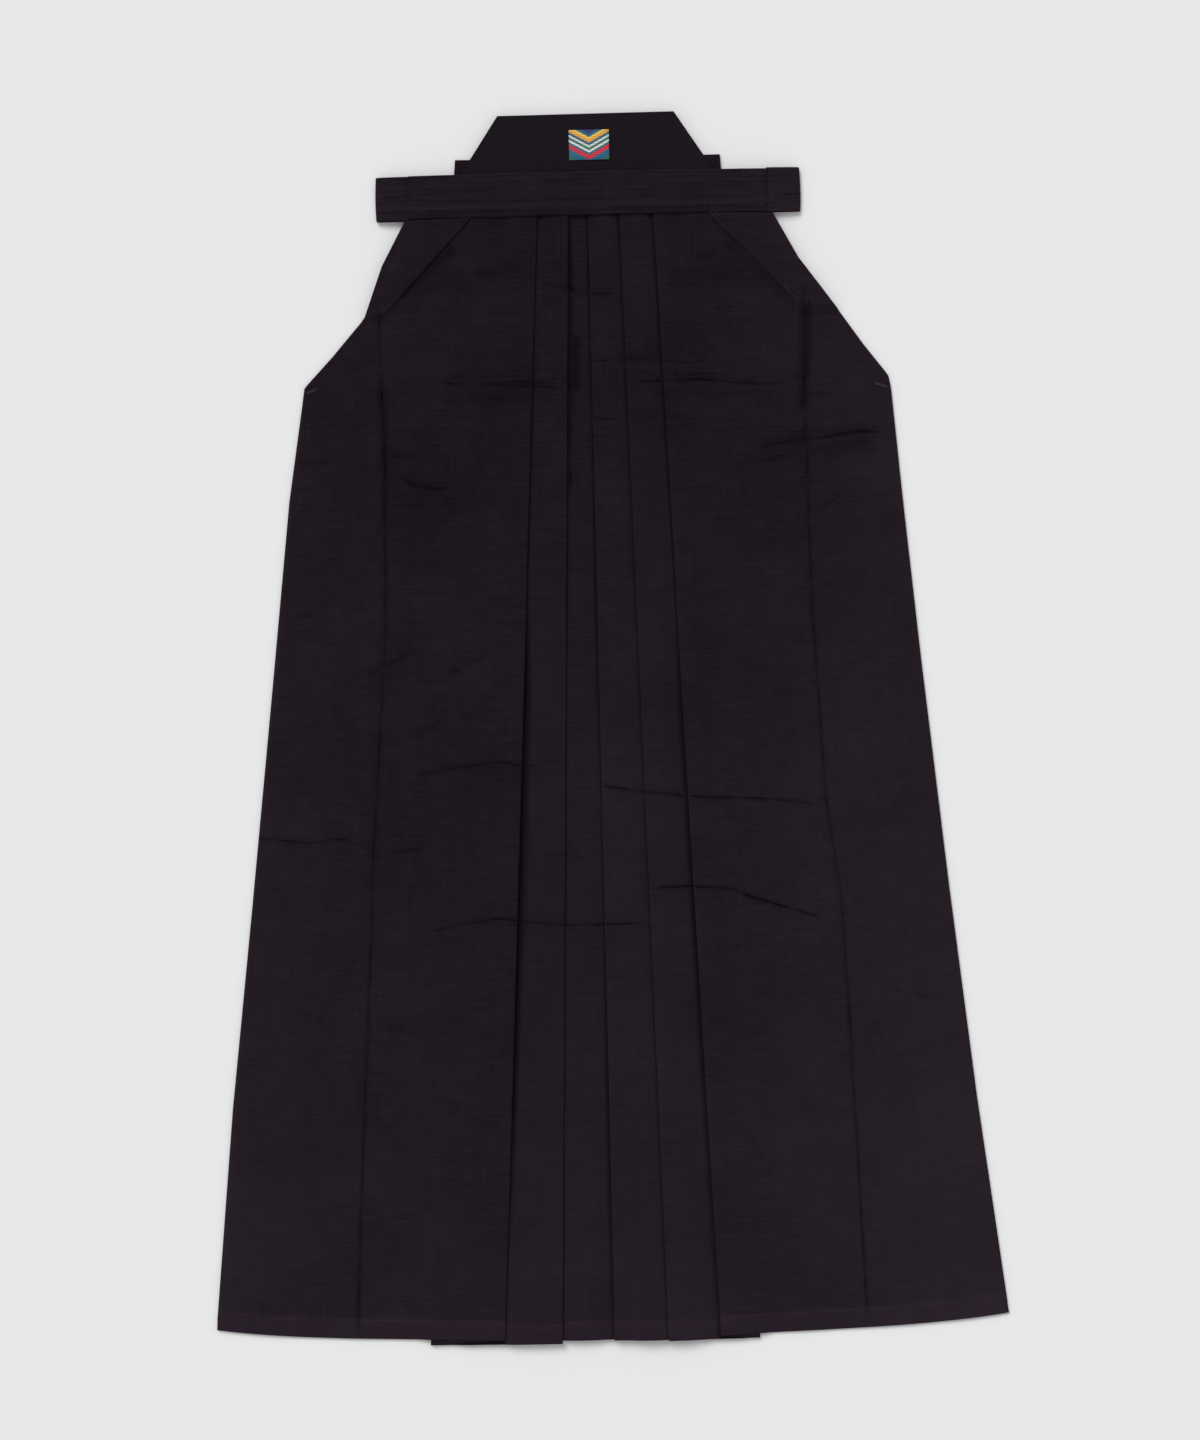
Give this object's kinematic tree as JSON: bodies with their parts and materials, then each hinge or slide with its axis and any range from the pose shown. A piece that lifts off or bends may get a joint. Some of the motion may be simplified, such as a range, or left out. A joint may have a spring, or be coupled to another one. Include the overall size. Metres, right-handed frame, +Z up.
{
  "type": "hakama trousers",
  "caption": "Divided, pleated hakama trousers laid flat: trapezoid back board, waistband, splayed front pleats, stitched side folds and a plain hem.",
  "frame": {"origin": "centre of the garment's outline, on the surface that it lies on", "axes": "+Z up out of the front of the garment, +Y from the hem to the waist, +X towards the wearer's left"},
  "size_m": [0.7146, 1.1066, 0.0143],
  "materials": {
    "black_cotton": "matt purple-black cotton twill",
    "tie_cotton": "matt black cotton, several layers stitched in rows",
    "board_cotton": "matt black cotton over a stiff board",
    "woven_label": "small woven label with a plain coloured pattern",
    "thread": "dark sewing thread"
  },
  "bodies": {
    "root": {"front_right": "black_cotton", "front_left": "black_cotton", "back_right": "black_cotton", "back_left": "black_cotton", "gusset_right": "black_cotton", "gusset_left": "black_cotton", "side_fold_right": "black_cotton", "side_fold_left": "black_cotton", "waistband": "tie_cotton", "front_tie_right": "tie_cotton", "front_tie_left": "tie_cotton", "back_tie_right": "tie_cotton", "back_tie_left": "tie_cotton", "back_board": "board_cotton", "label": "woven_label", "bar_tack_right": "thread", "bar_tack_left": "thread"}
  },
  "joints": []
}
